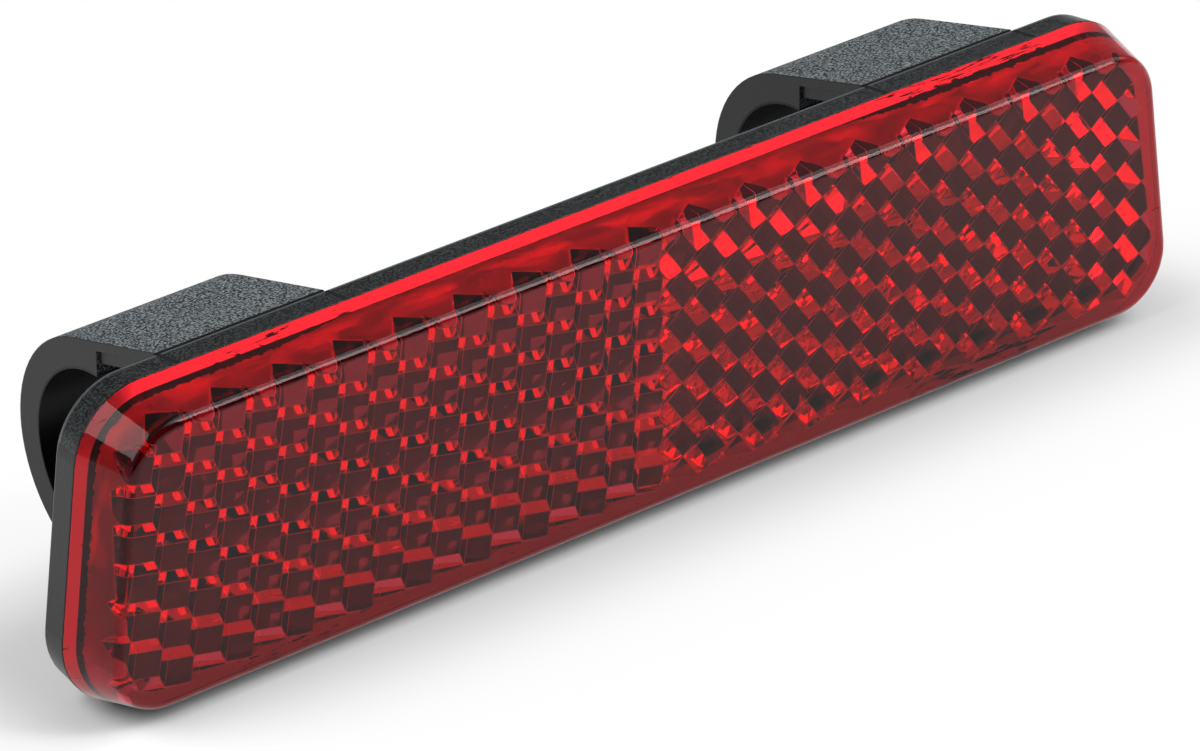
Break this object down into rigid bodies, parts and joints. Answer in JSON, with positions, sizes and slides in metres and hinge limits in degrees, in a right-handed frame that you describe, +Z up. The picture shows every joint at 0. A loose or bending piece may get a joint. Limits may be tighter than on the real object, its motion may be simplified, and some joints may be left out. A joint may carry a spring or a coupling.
{
  "type": "bicycle rack reflector",
  "caption": "Slim red corner-cube reflector lens, welded to a black back plate with hook clips behind it that snap onto a tube of a bicycle rack.",
  "frame": {"origin": "on the axis of the rack tube, midway between the two clips", "axes": "+X along the tube, +Y to the rear, away from the lens's front face, +Z up with the clips' arms on top"},
  "size_m": [0.0822, 0.02, 0.02],
  "materials": {
    "lens_red": "clear red acrylic, polished outside, with optical prisms inside",
    "plate_black": "black moulded plastic with a fine spark-eroded texture"
  },
  "bodies": {
    "root": {"lens": "lens_red", "back_plate": "plate_black"}
  },
  "joints": []
}
